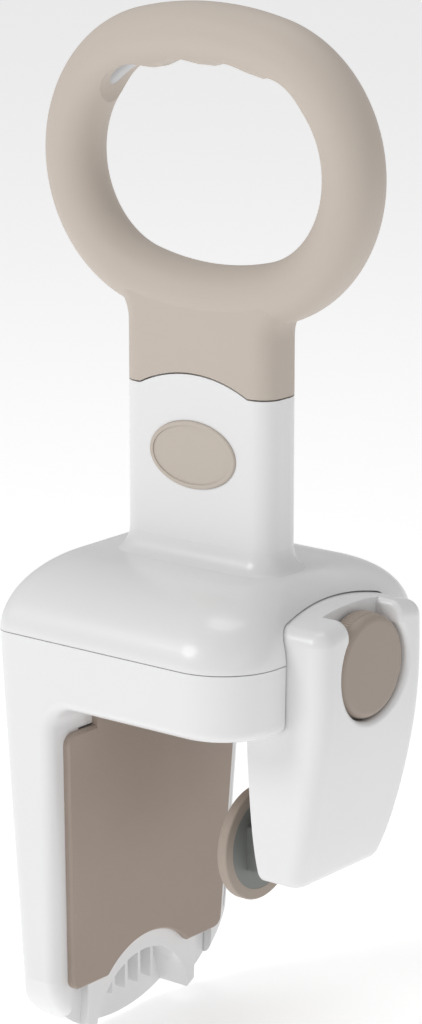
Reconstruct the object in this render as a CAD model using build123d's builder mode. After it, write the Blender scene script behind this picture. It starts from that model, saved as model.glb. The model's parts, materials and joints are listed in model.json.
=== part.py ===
from build123d import *
import math
import os

# Clamp-on bathtub grab handle, in millimetres.
# X runs across the tub wall, from the fixed leg to the sliding jaw; Y runs along the wall; Z is up.
# The origin is the middle of the rubber seat that rests on the rim of the tub.

os.makedirs("parts", exist_ok=True)

# ---- Mouldings: walls, clearances, rubber -----------------------------------
wall = 3.0                # wall of every plastic shell
play = 0.4                # gap between mouldings of one body
slide_play = 0.6          # gap between the jaw and its tunnel
pad_t = 3.2               # rubber lining of the leg and of the seat
hidden = 250.0            # length of a tool body that only has to reach past everything

# ---- Saddle and fixed leg ---------------------------------------------------
under_z = pad_t           # underside of the saddle
tray_h = 29.8             # from the underside to the joint with the cover
leg_drop = 165.5          # from the underside to the foot of the fixed leg
out_x = -62.8             # outer side of the leg, at the joint
end_x = 68.5              # end of the saddle on the jaw's side
half_y = 71.0             # half the depth of the saddle
leg_r = 9.0               # upright corners on the leg's side
end_r = 28.8              # upright corners on the jaw's side
side_draft = 0.056        # inward lean of front and back, per mm of height
out_draft = 0.020         # inward lean of the leg's outer side
face_x = -33.2            # leg's inner face, at the underside
face_lean = 2.2           # degrees that the inner face leans away from the tub wall
corner_r = 12.0           # inside corner between leg and saddle
edge_r = 5.0              # rounding along the inner edges of leg and saddle
foot_half = 63.8          # half width of the rounded foot
foot_h = 47.5             # height of the rounded foot
arch_r = 32.0             # arch in the foot
arch_rise = 34.5          # from the foot to the top of the arch
pad_arch_r = 37.7         # the same arch in the rubber
pad_arch_rise = 43.2
pad_half_top = 59.0
pad_half_low = 52.0
pad_low = 134.5           # lower edge of the rubber, below the underside
pad_bevel = 0.9           # bevel round its face
strip_half = 40.0         # half width of the rubber under the saddle
strip_end = 38.0
panel_top = 14.0          # top of the panel, below the underside
groove_in = 37.8          # the panel's raised middle ends here
groove_out = 48.9         # the leg's rim starts here
groove_d = 4.4            # depth of the groove between them
foot_rib_pitch = 9.0
foot_rib_d = 9.0
foot_rib_low = 152.0      # lower edge of the ribs, below the underside
foot_rib_h = 24.0
long_rib_y = 22.0         # long ribs inside the leg
long_rib_low = 110.0      # their lower end, below the underside
rib_back = 14.0           # from the leg's inner face to the ribs
leg_depth = 30.0          # more than the leg's thickness

# ---- Cover and column -------------------------------------------------------
dome_h = 27.5             # from the joint to the top of the dome
dome_in_y = 42.0          # how far the dome's shoulder reaches in from front and back
dome_in_out = 10.0        # the same from the leg's side
dome_in_end = 20.0        # the same from the jaw's side
col_a = 39.6              # half width of the column
col_b = 12.3              # half thickness of the column
col_r = 9.4               # its upright corners
flare_out = 7.5           # hollow rounding between column and dome: its reach outwards
flare_up = 11.0           # and upwards
joint_h = 131.6           # shoulders of the wavy joint, above the underside
wave_half = 28.7          # half the chord of its wave
wave_rise = 6.9
joint_gap = 0.7
seam = 0.4                # fine line between saddle and cover
badge_h = 104.2
badge_a = 22.9
badge_b = 14.6
badge_t = 2.4
badge_sunk = 1.2

# ---- Loop --------------------------------------------------------------------
loop_a = 73.6             # half width, to the middle of the grip
loop_side_r = 52.0
loop_mid = 225.9          # height of its middle above the underside
loop_top = 280.5
loop_low = 171.1
grip_r = 13.1
core_r = 9.5
groove_pitch = 24.0       # finger grooves
groove_deep = 2.9
finger_r = 18.0
tongue_a = 33.0
tongue_b = 8.0
tongue_end = 33.5         # end of the tongue above the underside

# ---- Jaw ----------------------------------------------------------------------
travel = 76.0
jaw_in = 47.5             # inner side of the jaw, closed
jaw_out = 87.5            # outer side at the knob
jaw_half = 36.5
jaw_r = 8.0               # outer upright corners
jaw_top = 49.5            # top of its arched roof
jaw_roof_r = 130.0
jaw_drop = 71.0           # foot of the jaw, below the underside
jaw_plate_t = 3.0
slot_back = 43.5          # wall at the back of the jaw's slot
strut_t = 3.0

# ---- Screw, rods and knob ------------------------------------------------------
axis_h = 23.9             # screw axis above the underside
screw_r = 6.0
neck_r = 4.5
screw_in = -54.0          # inner end of the screw, closed
rod_r = 5.0
rod_y = 24.0
rod_in = -52.0
slide_fit = 0.06          # radial clearance of a running fit
block_len = 30.0
block_half = 37.5
block_h = 32.0            # top of the block above the underside
nut_r = 9.0
plate_t = 2.5             # steel of the chassis
web_in = 8.2
pocket_r = 23.2
pocket_x = 74.0           # floor of the knob pocket
mouth_half = 17.8         # the pocket opens upwards over this half width
lip_r = 2.4               # rounding of the pocket's lip
lip_corner_r = 3.0        # corners between pocket and mouth
knob_r = 22.2
knob_back = 75.0
knob_face = 86.0
knob_edge_r = 3.2
hub_r = 7.0

knob_hollow = 7.5
screw_end = 82.0
bearing_x = 66.0          # inner end of the hub's bearing
collar_r = 8.5
collar_len = 6.0
washer_t = 1.5
pin_r = 1.25
turn_play = 0.3           # end play of turning pieces
block_x = 13.0
nut_len = 20.0
nut_flange_r = 12.0
nut_flange_t = 3.0
chassis_in = -56.0
web_x = (-38.0, 8.0)
web_top = 46.0
bolt_r = 3.0
bolt_flats = 10.0
bolt_head_h = 4.0
bolt_nut_h = 5.0
bolt_fit = 0.15           # bolt in its clearance hole
bolt_reach = web_in + plate_t
thread_fit = 0.03         # matched threads and pins
core_fit = 0.05
shank_r = 1.5
head_r = 3.2
head_h = 2.2
screw_hole_r = 1.8
cover_seat = 7.0          # seat of the cover screws, above the underside
rod_end_r = 4.0
rod_nut_flats = 13.0
rod_nut_h = 6.5
jaw_plate_x = 48.6
strut_low = 10.0          # strut's upper part, above the underside
strut_top = 35.5
strut_foot = -55.0
jaw_roof_edge_r = 7.0
neck_r_side = 16.0
jaw_stations = (          # height above the underside, inner X, outer X, half width
    (-71.0, 50.0, 69.5, 29.5),
    (-57.0, 49.3, 74.5, 32.8),
    (-33.0, 48.5, 80.5, 35.3),
    (-14.0, 47.8, 84.3, 36.0),
    (32.0, 47.5, 87.5, 36.5),
    (54.0, 47.5, 87.6, 36.5),
)

# ---- Round pad -------------------------------------------------------------------
insert_x = 52.0
insert_len = 5.0
insert_r = 5.0
stud_boss_end = 58.0
pad_drop = 65.9           # pad axis below the underside
cup_r = 25.3
cup_face = 22.6           # X of its rubber face, closed
cup_back = 28.1
plate_r = 20.5
plate_back = 28.0
plate_front = 25.6
boss_half = 10.6
boss_end = 34.5
ball_x = 32.0
ball_r = 4.0
bush_r = 5.0
stud_neck_r = 2.4
stud_r = 3.5
stud_boss_r = 8.0

# ---- Heights in the part's own frame ----------------------------------------------
joint_z = under_z + tray_h
foot_z = under_z - leg_drop
foot_mid_z = foot_z + foot_h
axis_z = under_z + axis_h
dome_z = joint_z + dome_h
wave_z = under_z + joint_h
roof_z = under_z + jaw_top
jaw_foot_z = under_z - jaw_drop
pad_z = under_z - pad_drop
arch_mid_z = foot_z + arch_rise - arch_r
pad_arch_mid_z = foot_z + pad_arch_rise - pad_arch_r

plate_screw_at = [(y, under_z + z) for y, z in ((-25, 39.5), (25, 39.5), (-21, -50), (21, -50))]

face_plane = Plane(
    origin=(face_x, 0, under_z),
    x_dir=(0, 1, 0),
    z_dir=(math.cos(math.radians(face_lean)), 0, -math.sin(math.radians(face_lean))),
)


def face_at(z):
    """X of the leg's inner face at a height."""
    return face_x - (under_z - z) * math.tan(math.radians(face_lean))


def plan_outline(low_x, high_x, half, low_r, high_r):
    """Plan of the saddle, with its own corner radius at each end."""
    with Locations(((low_x + high_x) / 2, 0)):
        Rectangle(high_x - low_x, 2 * half)
    corners = vertices().group_by(Axis.X)
    fillet(corners[0], low_r)
    fillet(vertices().group_by(Axis.X)[-1], high_r)


def saddle_section(z, inset=0.0):
    """Plan of saddle and leg at a height below the joint."""
    fall = joint_z - z
    plan_outline(
        out_x + out_draft * fall + inset,
        end_x - out_draft * fall - inset,
        half_y - side_draft * fall - inset,
        leg_r - inset,
        end_r - inset,
    )


def dome_section(angle, inset=0.0):
    """Plan of the dome where its shoulder has turned through an angle."""
    turn = 1 - math.cos(math.radians(angle))
    plan_outline(
        out_x + inset + dome_in_out * turn,
        end_x - inset - dome_in_end * turn,
        half_y - inset - dome_in_y * turn,
        leg_r - inset + 4 * turn,
        end_r - inset - 6 * turn,
    )


def dome_height(angle, inset=0.0):
    return joint_z + (dome_h - inset) * math.sin(math.radians(angle))


def foot_outline(inset=0.0):
    """Rounded foot, as a region on the YZ plane that reaches up past the saddle."""
    with Locations((0, foot_mid_z)):
        Ellipse(foot_half - inset, foot_h - inset)
    with Locations((0, foot_mid_z + hidden / 2)):
        Rectangle(2 * (half_y + 20), hidden)


def tunnel_outline(grow=0.0):
    """Section of the jaw's upper part, grown outwards; it runs down past the saddle."""
    half = jaw_half + grow
    top = roof_z + grow
    radius = jaw_roof_r + grow
    side = top - radius + math.sqrt(radius**2 - half**2)
    with BuildLine() as outline:
        ThreePointArc((-half, side), (0, top), (half, side))
        Polyline((half, side), (half, -hidden), (-half, -hidden), (-half, side))
    make_face(outline.edges())
    fillet(vertices().group_by(Axis.Y)[-1], 7.0)


def column_section(grow=0.0):
    RectangleRounded(2 * (col_a + grow), 2 * (col_b + grow), col_r + grow)


def wave_region(base_z):
    """Everything above the wavy joint, as a region on the XZ plane."""
    with BuildLine() as outline:
        Polyline(
            (-wave_half, base_z),
            (-2 * col_a, base_z),
            (-2 * col_a, base_z + hidden),
            (2 * col_a, base_z + hidden),
            (2 * col_a, base_z),
            (wave_half, base_z),
        )
        ThreePointArc((wave_half, base_z), (0, base_z + wave_rise), (-wave_half, base_z))
    make_face(outline.edges())


def loop_line():
    """Middle line of the loop: side arcs joined by flatter arcs above and below."""
    mid = under_z + loop_mid
    top = under_z + loop_top
    low = under_z + loop_low
    side_x = loop_a - loop_side_r

    def flat_arc_centre(reach):
        return (reach**2 - side_x**2) / (2 * reach)

    up = top - mid - loop_side_r
    down = mid - low - loop_side_r
    top_c = flat_arc_centre(up)
    low_c = flat_arc_centre(down)
    top_a = math.atan2(-top_c, side_x)
    low_a = math.atan2(-low_c, side_x)
    hi = (side_x + loop_side_r * math.cos(top_a), mid + loop_side_r * math.sin(top_a))
    lo = (side_x + loop_side_r * math.cos(low_a), mid - loop_side_r * math.sin(low_a))
    ThreePointArc(lo, (loop_a, mid), hi)
    ThreePointArc(hi, (0, top), (-hi[0], hi[1]))
    ThreePointArc((-hi[0], hi[1]), (-loop_a, mid), (-lo[0], lo[1]))
    ThreePointArc((-lo[0], lo[1]), (0, low), lo)


def groove_z(x):
    """Height of the middle of a finger groove, under the loop's upper arc."""
    side_x = loop_a - loop_side_r
    up = loop_top - loop_mid - loop_side_r
    top_r = loop_side_r + up - (up**2 - side_x**2) / (2 * up)
    arc_z = under_z + loop_top - top_r + math.sqrt(top_r**2 - x**2)
    return arc_z - grip_r + groove_deep - finger_r


def neck_outline(half, low_z, top_r):
    """Front view of the neck: straight sides that flare out into the loop."""
    spread = half + top_r
    top = under_z + loop_low + 2.0
    with BuildLine() as outline:
        Line((-half, low_z), (half, low_z))
        Line((half, low_z), (half, top - top_r))
        ThreePointArc(
            (half, top - top_r),
            (half + top_r * (1 - math.cos(math.pi / 4)), top - top_r + top_r * math.sin(math.pi / 4)),
            (spread, top),
        )
        Line((spread, top), (-spread, top))
        ThreePointArc(
            (-spread, top),
            (-half - top_r * (1 - math.cos(math.pi / 4)), top - top_r + top_r * math.sin(math.pi / 4)),
            (-half, top - top_r),
        )
        Line((-half, top - top_r), (-half, low_z))
    make_face(outline.edges())


# =============================== Fixed body =========================================
cover_screw_at = [(-16, -55), (-16, 55), (34, -54), (34, 54)]
chassis_screw_at = [(-48, -20), (-48, 20)]
block_screw_at = [(x, y) for x in (18, 38) for y in (-33.4, 33.4)]
foot_rib_x = out_x + out_draft * leg_drop + wall + foot_rib_d / 2 - 1
panel_screw_at = [(u, v) for u in (-43.3, 43.3) for v in (-30, -112)]
bolt_x = (-26, 2)
bolt_z = under_z + 39.0
floor_z = under_z + wall
chassis_top = floor_z + plate_t

# Hollow of the tray, without the walls of the jaw's slot
with BuildPart() as tray_hollow:
    with BuildSketch(Plane.XY.offset(joint_z)):
        saddle_section(joint_z, wall)
    with BuildSketch(Plane.XY.offset(floor_z)):
        saddle_section(floor_z, wall)
    loft(ruled=True)
    with BuildSketch(Plane.XY.offset(joint_z)):
        saddle_section(joint_z, wall)
    extrude(amount=1)
    with BuildSketch(Plane.YZ.offset(slot_back)):
        tunnel_outline(slide_play + wall)
    extrude(amount=hidden, mode=Mode.SUBTRACT)

# Hollow of the leg, above its arch and open towards the tub wall behind the panel
with BuildPart() as leg_hollow:
    with BuildSketch(Plane.XY.offset(under_z)):
        saddle_section(under_z, wall)
    with BuildSketch(Plane.XY.offset(foot_z)):
        saddle_section(foot_z, wall)
    loft(ruled=True)
    with BuildSketch(Plane.YZ):
        foot_outline(wall)
    extrude(amount=hidden, both=True, mode=Mode.INTERSECT)
    with BuildSketch(Plane.YZ):
        with Locations((0, arch_mid_z)):
            Circle(arch_r + wall)
    extrude(amount=hidden, both=True, mode=Mode.SUBTRACT)
    with BuildSketch(face_plane.offset(-groove_d - wall)):
        Rectangle(hidden, 3 * hidden)
    extrude(amount=hidden, mode=Mode.SUBTRACT)

# Outer form of saddle and leg
with BuildPart() as saddle_solid:
    with BuildSketch(Plane.XY.offset(joint_z)):
        saddle_section(joint_z)
    with BuildSketch(Plane.XY.offset(foot_z - 1)):
        saddle_section(foot_z - 1)
    loft(ruled=True)
    # the tub wall's side, with the rounded inside corner
    with BuildSketch(Plane.XZ):
        with BuildLine():
            Polyline(
                (face_at(foot_z - 20), foot_z - 20),
                (face_x, under_z),
                (hidden, under_z),
                (hidden, foot_z - 20),
                close=True,
            )
        make_face()
        fillet(vertices().sort_by_distance((face_x, under_z))[0], corner_r)
    extrude(amount=hidden, both=True, mode=Mode.SUBTRACT)
    with BuildSketch(Plane.YZ):
        foot_outline()
    extrude(amount=hidden, both=True, mode=Mode.INTERSECT)
    low = edges().filter_by(GeomType.LINE, reverse=True).filter_by(
        lambda e: e.center().Z < under_z + 1
    )
    fillet(low.filter_by(lambda e: e.center().X > face_at(e.center().Z) - 3), edge_r)

# Bosses and long ribs inside the leg, cut off by its outer form
with BuildPart() as leg_stiffeners:
    with BuildSketch(face_plane.offset(-groove_d - wall)):
        with Locations(panel_screw_at):
            Circle(4)
    extrude(amount=-leg_depth)
    with BuildSketch(Plane.XZ):
        with BuildLine():
            Polyline(
                (2 * out_x, under_z - long_rib_low),
                (2 * out_x, under_z + wall / 2),
                (face_at(under_z) - rib_back, under_z + wall / 2),
                (face_at(under_z - long_rib_low) - rib_back, under_z - long_rib_low),
                close=True,
            )
        make_face()
    rib = extrude(amount=1.0, both=True, mode=Mode.PRIVATE)
    with Locations((0, -long_rib_y, 0), (0, long_rib_y, 0)):
        add(rib)
    add(saddle_solid.part, mode=Mode.INTERSECT)

with BuildPart() as saddle_body:
    add(saddle_solid.part)
    # arch through the foot, up to the outer wall
    with BuildSketch(Plane.YZ.offset(out_x + out_draft * leg_drop + wall + 1.5)):
        with Locations((0, arch_mid_z)):
            Circle(arch_r)
    extrude(amount=hidden, mode=Mode.SUBTRACT)
    add(leg_hollow.part, mode=Mode.SUBTRACT)
    add(tray_hollow.part, mode=Mode.SUBTRACT)
    # recess that takes the inner panel
    with BuildSketch(face_plane.offset(-groove_d - wall)):
        with Locations((0, -panel_top - hidden / 2)):
            Rectangle(2 * groove_out, hidden)
    extrude(amount=hidden, mode=Mode.SUBTRACT)
    # slot of the jaw
    with BuildSketch(Plane.YZ.offset(slot_back + wall)):
        tunnel_outline(slide_play)
    extrude(amount=hidden, mode=Mode.SUBTRACT)
    # ribs at the foot, on the outer wall below the arch
    with BuildSketch(Plane.XZ):
        with Locations((foot_rib_x, under_z - foot_rib_low + foot_rib_h / 2)):
            Rectangle(foot_rib_d, foot_rib_h)
    ribs = extrude(amount=0.9, both=True, mode=Mode.PRIVATE)
    with Locations([(0, k * foot_rib_pitch, 0) for k in range(-2, 3)]):
        add(ribs)
    add(leg_stiffeners.part)
    # bosses for the cover screws, with a seat for each head
    with Locations([(x, y, floor_z - 0.5) for x, y in cover_screw_at]):
        Cylinder(6.6, joint_z - floor_z + 0.5, align=(Align.CENTER, Align.CENTER, Align.MIN))
    with Locations([(x, y, under_z - 1) for x, y in cover_screw_at]):
        Cylinder(2.3, hidden, align=(Align.CENTER, Align.CENTER, Align.MIN), mode=Mode.SUBTRACT)
        Cylinder(4.4, 8, align=(Align.CENTER, Align.CENTER, Align.MIN), mode=Mode.SUBTRACT)
    with BuildSketch(face_plane.offset(-groove_d - wall)):
        with Locations(panel_screw_at):
            Circle(1.5)
    extrude(amount=-12, mode=Mode.SUBTRACT)
    # holes for the screw and the rods in the slot's back wall
    with BuildSketch(Plane.YZ.offset(slot_back - 1)):
        with Locations((0, axis_z)):
            Circle(screw_r + 1.5)
        with Locations((-rod_y, axis_z), (rod_y, axis_z)):
            Circle(rod_r + 1.0)
    extrude(amount=wall + 2, mode=Mode.SUBTRACT)
    # pilot holes in the floor
    with Locations([(x, y, floor_z) for x, y in block_screw_at + chassis_screw_at]):
        Cylinder(1.6, 4.4, mode=Mode.SUBTRACT)
saddle_body.part.label = "saddle_body"

# Hollow of the dome, without the walls of the jaw's tunnel
dome_angles = (0, 18, 36, 54, 72, 86)
with BuildPart() as dome_hollow:
    for angle in dome_angles:
        with BuildSketch(Plane.XY.offset(dome_height(angle, wall))):
            dome_section(angle, wall)
    loft()
    with BuildSketch(Plane.YZ.offset(slot_back)):
        tunnel_outline(slide_play + wall)
    extrude(amount=hidden, mode=Mode.SUBTRACT)

with BuildPart() as dome:
    for angle in dome_angles:
        with BuildSketch(Plane.XY.offset(dome_height(angle))):
            dome_section(angle)
    loft()

# screw bosses, up to the inside of the dome
with BuildPart() as cover_bosses:
    with Locations([(x, y, joint_z) for x, y in cover_screw_at]):
        Cylinder(4.6, dome_h, align=(Align.CENTER, Align.CENTER, Align.MIN))
    add(dome.part, mode=Mode.INTERSECT)

flare_z = dome_height(dome_angles[-1]) - 0.5
with BuildPart() as top_cover:
    add(dome.part)
    # hollow flare, then the column
    for turn in (0, 22, 45, 66, 82):
        grow = flare_out * (1 - math.sin(math.radians(turn)))
        rise = flare_up * (1 - math.cos(math.radians(turn)))
        with BuildSketch(Plane.XY.offset(flare_z + rise)):
            column_section(grow)
    loft()
    with BuildSketch(Plane.XY.offset(flare_z - wall)):
        column_section()
    extrude(amount=wave_z + 2 * wave_rise - flare_z + wall)
    with BuildSketch(Plane.XZ):
        wave_region(wave_z)
    extrude(amount=hidden, both=True, mode=Mode.SUBTRACT)
    add(dome_hollow.part, mode=Mode.SUBTRACT)
    # the column's bore
    with BuildSketch(Plane.XY.offset(joint_z + 8)):
        RectangleRounded(2 * (col_a - wall), 2 * (col_b - wall), col_r - wall)
    extrude(amount=hidden, mode=Mode.SUBTRACT)
    # tunnel of the jaw
    with BuildSketch(Plane.YZ.offset(slot_back + wall)):
        tunnel_outline(slide_play)
    extrude(amount=hidden, mode=Mode.SUBTRACT)
    with BuildSketch(Plane.YZ.offset(slot_back - 1)):
        with Locations((0, axis_z)):
            Circle(screw_r + 1.5)
        with Locations((-rod_y, axis_z), (rod_y, axis_z)):
            Circle(rod_r + 1.0)
    extrude(amount=wall + 2, mode=Mode.SUBTRACT)
    # fine seam above the saddle; only the bosses touch it
    with Locations((0, 0, joint_z + seam / 2)):
        Box(hidden, hidden, seam, mode=Mode.SUBTRACT)
    add(cover_bosses.part)
    with Locations([(x, y, joint_z - 1) for x, y in cover_screw_at]):
        Cylinder(1.7, 13, align=(Align.CENTER, Align.CENTER, Align.MIN), mode=Mode.SUBTRACT)
    # recess of the badge
    with BuildSketch(Plane.XZ.offset(col_b - badge_sunk)):
        with Locations((0, under_z + badge_h)):
            Ellipse(badge_a + 0.1, badge_b + 0.1)
    extrude(amount=10, mode=Mode.SUBTRACT)
top_cover.part.label = "top_cover"

with BuildPart() as badge:
    with BuildSketch(Plane.XZ.offset(col_b - badge_sunk)):
        with Locations((0, under_z + badge_h)):
            Ellipse(badge_a, badge_b)
    extrude(amount=badge_t)
    fillet(edges().group_by(Axis.Y)[0], 0.9)
    with BuildSketch(Plane.XZ.offset(col_b - badge_sunk + badge_t)):
        with Locations((0, under_z + badge_h)):
            Ellipse(badge_a - 2.0, badge_b - 2.0)
    extrude(amount=-0.5, mode=Mode.SUBTRACT)
badge.part.label = "badge"

with BuildPart() as leg_panel:
    with BuildSketch(face_plane.offset(-groove_d)):
        with Locations((0, -panel_top - play - hidden / 2)):
            Rectangle(2 * groove_in, hidden)
    middle = extrude(amount=groove_d)
    fillet(middle.edges().filter_by(lambda e: e.length > hidden - 1).sort_by(Axis.X)[-2:], 1.0)
    with BuildSketch(face_plane.offset(-groove_d - wall)):
        with Locations((0, -panel_top - play - hidden / 2)):
            Rectangle(2 * (groove_out - play), hidden)
    extrude(amount=wall)
    with BuildSketch(Plane.YZ):
        foot_outline()
    extrude(amount=hidden, both=True, mode=Mode.INTERSECT)
    with BuildSketch(Plane.YZ):
        with Locations((0, arch_mid_z)):
            Circle(arch_r)
    extrude(amount=hidden, both=True, mode=Mode.SUBTRACT)
    # hollow behind the raised middle
    with BuildSketch(face_plane.offset(-groove_d - wall)):
        with Locations((0, -60)):
            Rectangle(2 * (groove_in - wall), 90)
    extrude(amount=groove_d, mode=Mode.SUBTRACT)
    with BuildSketch(face_plane.offset(-groove_d)):
        with Locations(panel_screw_at):
            Circle(2.0)
    extrude(amount=-wall, mode=Mode.SUBTRACT)
leg_panel.part.label = "leg_panel"

with BuildPart() as wall_pad:
    with BuildSketch(face_plane):
        with BuildLine():
            Polyline(
                (-pad_half_top, -panel_top - 2 * play),
                (pad_half_top, -panel_top - 2 * play),
                (pad_half_low, -pad_low),
                (-pad_half_low, -pad_low),
                close=True,
            )
        make_face()
        fillet(vertices(), 5.0)
        with Locations((0, (pad_arch_mid_z - under_z))):
            Circle(pad_arch_r, mode=Mode.SUBTRACT)
    extrude(amount=pad_t)
    chamfer(faces().filter_by(lambda f: abs(f.normal_at().dot(face_plane.z_dir)) > 0.99)
            .sort_by(Axis.X)[-1].edges(), pad_bevel)
    # strip that turns the corner and lines the seat
    with BuildSketch(Plane.XZ):
        with BuildLine():
            Polyline(
                (face_at(under_z - panel_top - 4), under_z - panel_top - 4),
                (face_x, under_z),
                (strip_end, under_z),
                (strip_end, under_z - panel_top - 4),
                close=True,
            )
        make_face()
        fillet(vertices().sort_by_distance((face_x, under_z))[0], corner_r)
        with BuildSketch(Plane.XY, mode=Mode.PRIVATE) as inside:
            with BuildLine():
                Polyline(
                    (face_at(-hidden) + pad_t, -hidden),
                    (face_x + pad_t, 0),
                    (hidden, 0),
                    (hidden, -hidden),
                    close=True,
                )
            make_face()
            fillet(vertices().sort_by_distance((face_x + pad_t, 0))[0], corner_r - pad_t)
        add(inside.sketch, mode=Mode.SUBTRACT)
    extrude(amount=strip_half, both=True)
wall_pad.part.label = "wall_pad"

with BuildPart() as grip_core:
    with BuildLine() as core_path:
        with BuildLine(Plane.XZ):
            loop_line()
    with BuildSketch(Plane(origin=(loop_a, 0, under_z + loop_mid), z_dir=(0, 0, 1))):
        Circle(core_r)
    sweep(path=core_path.wire())
    with BuildSketch(Plane.XZ):
        neck_outline(tongue_a, wave_z, 10)
        with Locations((0, (under_z + tongue_end + wave_z + 1) / 2)):
            Rectangle(2 * tongue_a, wave_z + 1 - under_z - tongue_end)
    extrude(amount=tongue_b, both=True)
    with BuildSketch(Plane.XZ):
        with Locations((0, under_z + 74), (0, under_z + 118)):
            RectangleRounded(36, 32, 6)
        with Locations([(x, bolt_z) for x in bolt_x]):
            Circle(bolt_r + bolt_fit)
    extrude(amount=hidden, both=True, mode=Mode.SUBTRACT)
    # room for the flange of the drive nut
    with BuildSketch(Plane.YZ.offset(block_x - nut_flange_t - play)):
        with Locations((0, axis_z)):
            Circle(nut_flange_r + play)
    extrude(amount=nut_flange_t + 2 * play, mode=Mode.SUBTRACT)
grip_core.part.label = "grip_core"

# Everything the sleeve has to leave free for the core
with BuildPart() as core_room:
    with BuildLine() as room_path:
        with BuildLine(Plane.XZ):
            loop_line()
    with BuildSketch(Plane(origin=(loop_a, 0, under_z + loop_mid), z_dir=(0, 0, 1))):
        Circle(core_r + core_fit)
    sweep(path=room_path.wire())
    with BuildSketch(Plane.XZ):
        neck_outline(tongue_a + core_fit, wave_z - 10, 10 - core_fit)
    extrude(amount=tongue_b + core_fit, both=True)

with BuildPart() as grip_sleeve:
    with BuildSketch(Plane.XZ):
        neck_outline(col_a, wave_z - 5, neck_r_side)
    neck = extrude(amount=col_b, both=True)
    fillet(neck.edges().filter_by(lambda e: abs(abs(e.center().Y) - col_b) < 0.1).filter_by(
        lambda e: abs(e.center().X) > col_a - 1), col_r)
    with BuildSketch(Plane.XZ):
        wave_region(wave_z + joint_gap)
    extrude(amount=hidden, both=True, mode=Mode.INTERSECT)
    with BuildLine() as sleeve_path:
        with BuildLine(Plane.XZ):
            loop_line()
    with BuildSketch(Plane(origin=(loop_a, 0, under_z + loop_mid), z_dir=(0, 0, 1))):
        Circle(grip_r)
    sweep(path=sleeve_path.wire())
    # finger grooves under the top of the loop
    with BuildSketch(Plane.XZ):
        with Locations([(k * groove_pitch, groove_z(k * groove_pitch)) for k in (-1.5, -0.5, 0.5, 1.5)]):
            Circle(finger_r)
    extrude(amount=2 * grip_r, both=True, mode=Mode.SUBTRACT)
    add(core_room.part, mode=Mode.SUBTRACT)
grip_sleeve.part.label = "grip_sleeve"

with BuildPart() as chassis:
    with BuildSketch(Plane.XY.offset(floor_z)):
        with Locations(((chassis_in + block_x + block_len) / 2, 0)):
            Rectangle(block_x + block_len - chassis_in, 2 * block_half)
            fillet(vertices(), 4)
        with Locations(block_screw_at + chassis_screw_at):
            Circle(screw_hole_r, mode=Mode.SUBTRACT)
    extrude(amount=plate_t)
    with BuildSketch(Plane.XZ.offset(web_in)):
        with Locations(((web_x[0] + web_x[1]) / 2, (chassis_top + under_z + web_top) / 2)):
            Rectangle(web_x[1] - web_x[0], under_z + web_top - chassis_top)
        fillet(vertices().group_by(Axis.Y)[-1], 6)
        with Locations([(x, bolt_z) for x in bolt_x]):
            Circle(bolt_r + bolt_fit, mode=Mode.SUBTRACT)
    extrude(amount=plate_t)
    mirror(about=Plane.XZ)
chassis.part.label = "chassis"

with BuildPart() as guide_block:
    with Locations((block_x + block_len / 2, 0, (chassis_top + under_z + block_h) / 2)):
        Box(block_len, 2 * block_half, under_z + block_h - chassis_top)
    fillet(edges().filter_by(Axis.X).group_by(Axis.Z)[-1], 3)
    with BuildSketch(Plane.YZ.offset(block_x)):
        with Locations((-rod_y, axis_z), (rod_y, axis_z)):
            Circle(rod_r + slide_fit)
        with Locations((0, axis_z)):
            Circle(screw_r + 1.0)
    extrude(amount=block_len, mode=Mode.SUBTRACT)
    with BuildSketch(Plane.YZ.offset(block_x)):
        with Locations((0, axis_z)):
            Circle(nut_r + bolt_fit)
    extrude(amount=nut_len, mode=Mode.SUBTRACT)
    with Locations([(x, y, under_z + block_h) for x, y in block_screw_at]):
        Cylinder(screw_hole_r, hidden, mode=Mode.SUBTRACT)
        Cylinder(head_r + 0.4, 2 * head_h, mode=Mode.SUBTRACT)
guide_block.part.label = "guide_block"

with BuildPart() as drive_nut:
    with BuildSketch(Plane.YZ.offset(block_x - nut_flange_t)):
        with Locations((0, axis_z)):
            Circle(nut_flange_r)
    extrude(amount=nut_flange_t)
    with BuildSketch(Plane.YZ.offset(block_x)):
        with Locations((0, axis_z)):
            Circle(nut_r)
    extrude(amount=nut_len)
    with BuildSketch(Plane.YZ.offset(block_x - nut_flange_t)):
        with Locations((0, axis_z)):
            Circle(screw_r + slide_fit)
    extrude(amount=nut_len + nut_flange_t, mode=Mode.SUBTRACT)
drive_nut.part.label = "drive_nut"


def hexagon(across_flats):
    RegularPolygon(across_flats / 2, 6, major_radius=False)


with BuildPart() as tongue_bolts:
    for x in bolt_x:
        with BuildSketch(Plane.XZ.offset(bolt_reach)):
            with Locations((x, bolt_z)):
                hexagon(bolt_flats)
        extrude(amount=bolt_head_h)
        with BuildSketch(Plane.XZ.offset(bolt_reach)):
            with Locations((x, bolt_z)):
                Circle(bolt_r)
        extrude(amount=-2 * bolt_reach - bolt_nut_h - 2)
tongue_bolts.part.label = "tongue_bolts"

with BuildPart() as tongue_nuts:
    for x in bolt_x:
        with BuildSketch(Plane.XZ.offset(-bolt_reach)):
            with Locations((x, bolt_z)):
                hexagon(bolt_flats)
                Circle(bolt_r + thread_fit, mode=Mode.SUBTRACT)
        extrude(amount=-bolt_nut_h)
tongue_nuts.part.label = "tongue_nuts"


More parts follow.
